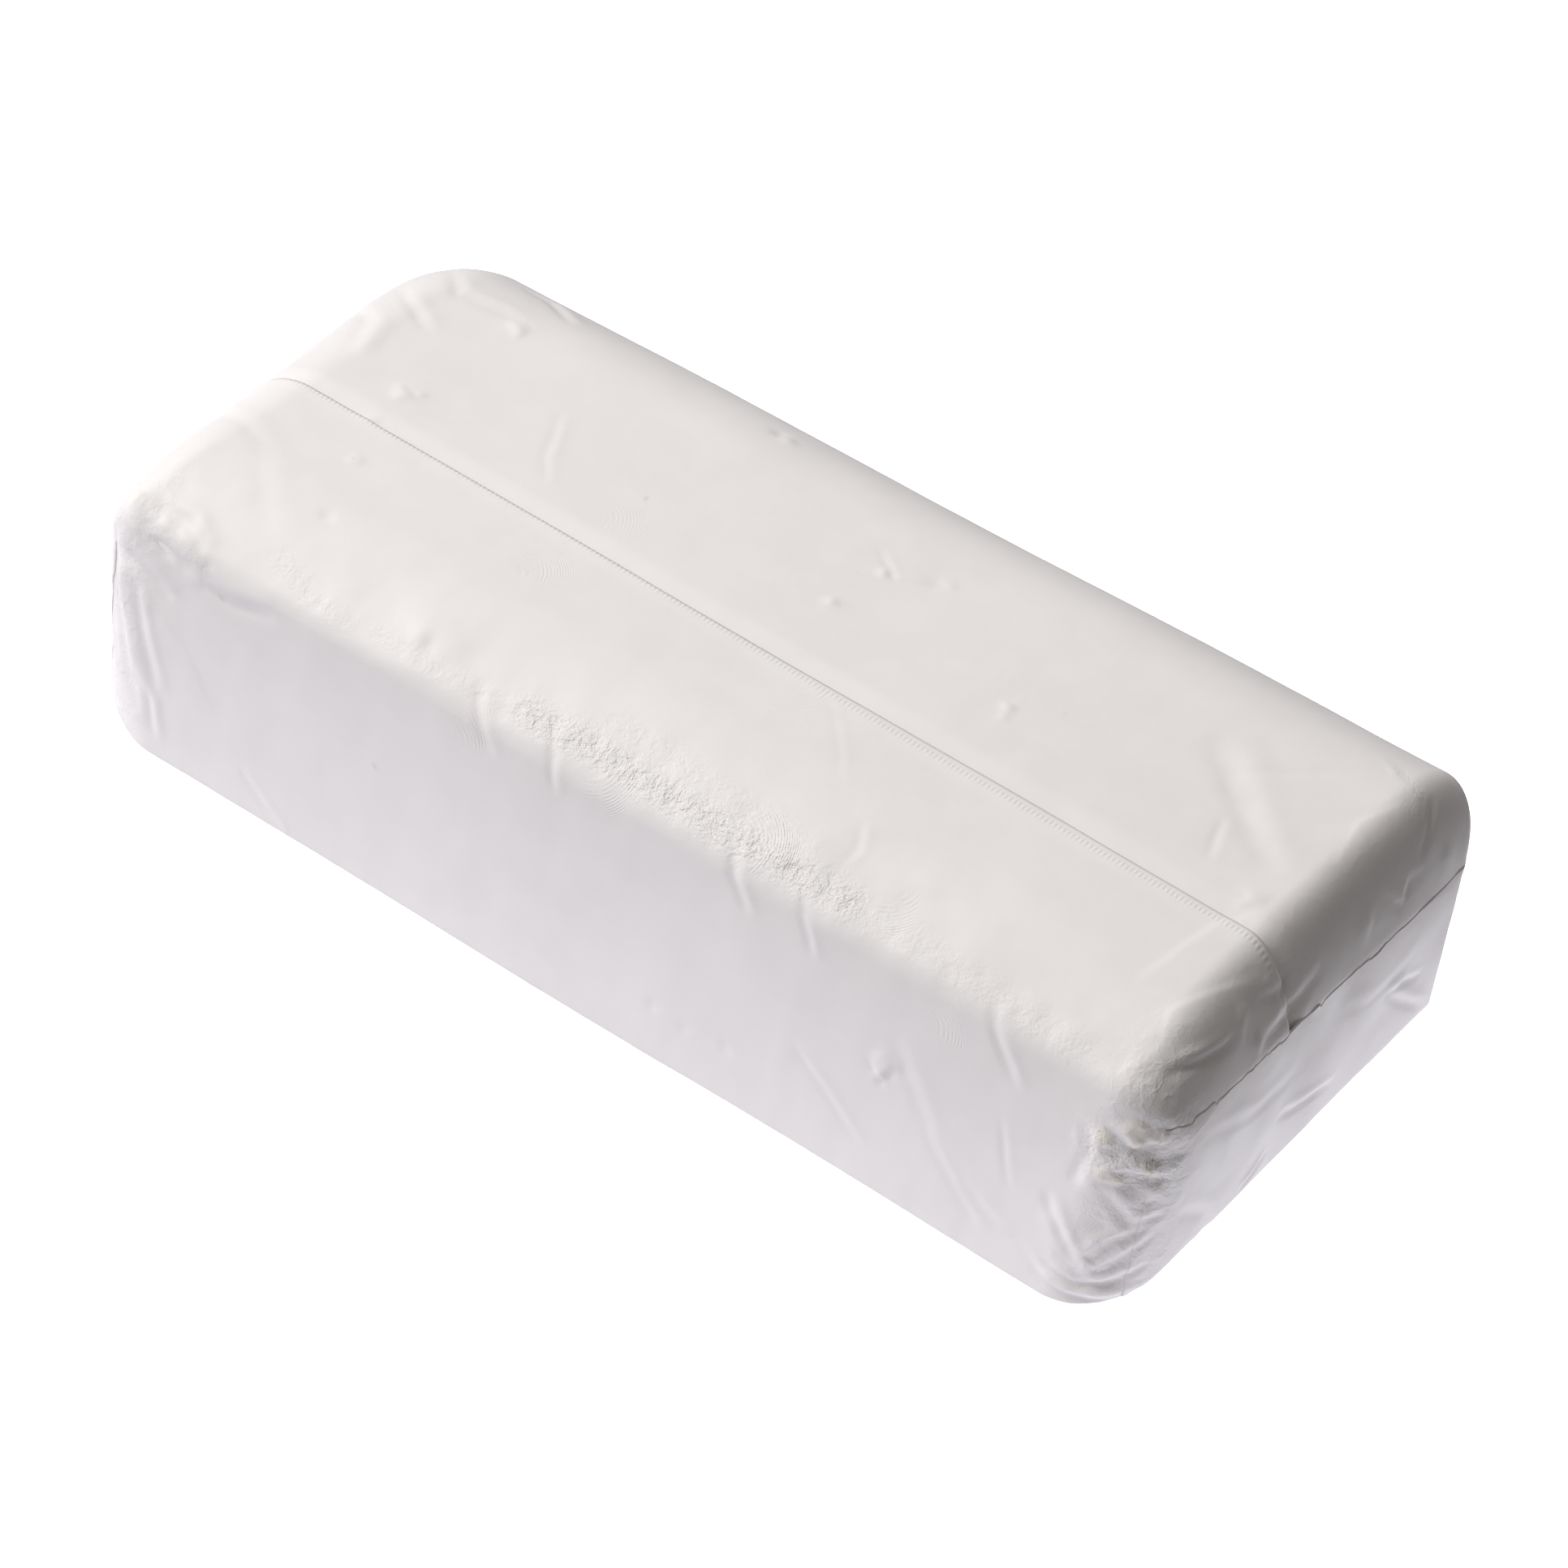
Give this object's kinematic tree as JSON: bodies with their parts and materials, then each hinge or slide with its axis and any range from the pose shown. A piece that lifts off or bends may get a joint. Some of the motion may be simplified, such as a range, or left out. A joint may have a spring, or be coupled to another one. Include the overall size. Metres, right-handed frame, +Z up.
{
  "type": "gymnastics chalk block",
  "caption": "Rectangular block of pressed chalk in a close matt film wrapper with a lap seam along the top and folded ends that open on their creases.",
  "frame": {"origin": "middle of the underside, on the floor", "axes": "+X along the length towards the right end, +Y across the width towards the side away from the viewer, +Z up"},
  "size_m": [0.16, 0.075, 0.041],
  "materials": {
    "chalk": "pressed chalk, powder-matt white",
    "film": "matt white film, dusted, creased at the folds"
  },
  "bodies": {
    "wrapped_block": {"chalk_block": "chalk", "film_sleeve": "film"},
    "right_outer_flap": {"right_outer_flap": "film"},
    "right_inner_flap": {"right_inner_flap": "film"},
    "right_front_tuck": {"right_front_tuck": "film"},
    "right_back_tuck": {"right_back_tuck": "film"},
    "left_outer_flap": {"left_outer_flap": "film"},
    "left_inner_flap": {"left_inner_flap": "film"},
    "left_front_tuck": {"left_front_tuck": "film"},
    "left_back_tuck": {"left_back_tuck": "film"}
  },
  "joints": [
    {"name": "right_outer_flap_crease", "type": "hinge", "parent": "wrapped_block", "child": "right_outer_flap", "pos_m": [0.07975, 0, 0.00347], "axis": [0, 1, 0], "range_deg": [0, 90]},
    {"name": "right_inner_flap_crease", "type": "hinge", "parent": "wrapped_block", "child": "right_inner_flap", "pos_m": [0.07895, 0, 0.03119], "axis": [0, -1, 0], "range_deg": [0, 90]},
    {"name": "right_front_tuck_crease", "type": "hinge", "parent": "wrapped_block", "child": "right_front_tuck", "pos_m": [0.07815, -0.02967, 0.0181], "axis": [0, 0, -1], "range_deg": [0, 90]},
    {"name": "right_back_tuck_crease", "type": "hinge", "parent": "wrapped_block", "child": "right_back_tuck", "pos_m": [0.07815, 0.02967, 0.0181], "axis": [0, 0, 1], "range_deg": [0, 90]},
    {"name": "left_outer_flap_crease", "type": "hinge", "parent": "wrapped_block", "child": "left_outer_flap", "pos_m": [-0.07975, 0, 0.00347], "axis": [0, -1, 0], "range_deg": [0, 90]},
    {"name": "left_inner_flap_crease", "type": "hinge", "parent": "wrapped_block", "child": "left_inner_flap", "pos_m": [-0.07895, 0, 0.03119], "axis": [0, 1, 0], "range_deg": [0, 90]},
    {"name": "left_front_tuck_crease", "type": "hinge", "parent": "wrapped_block", "child": "left_front_tuck", "pos_m": [-0.07815, -0.02967, 0.0181], "axis": [0, 0, 1], "range_deg": [0, 90]},
    {"name": "left_back_tuck_crease", "type": "hinge", "parent": "wrapped_block", "child": "left_back_tuck", "pos_m": [-0.07815, 0.02967, 0.0181], "axis": [0, 0, -1], "range_deg": [0, 90]}
  ],
  "couplings": [
    {"joint": "right_inner_flap_crease", "follows": "right_outer_flap_crease", "ratio": 1},
    {"joint": "right_front_tuck_crease", "follows": "right_outer_flap_crease", "ratio": 1},
    {"joint": "right_back_tuck_crease", "follows": "right_outer_flap_crease", "ratio": 1},
    {"joint": "left_inner_flap_crease", "follows": "left_outer_flap_crease", "ratio": 1},
    {"joint": "left_front_tuck_crease", "follows": "left_outer_flap_crease", "ratio": 1},
    {"joint": "left_back_tuck_crease", "follows": "left_outer_flap_crease", "ratio": 1}
  ]
}
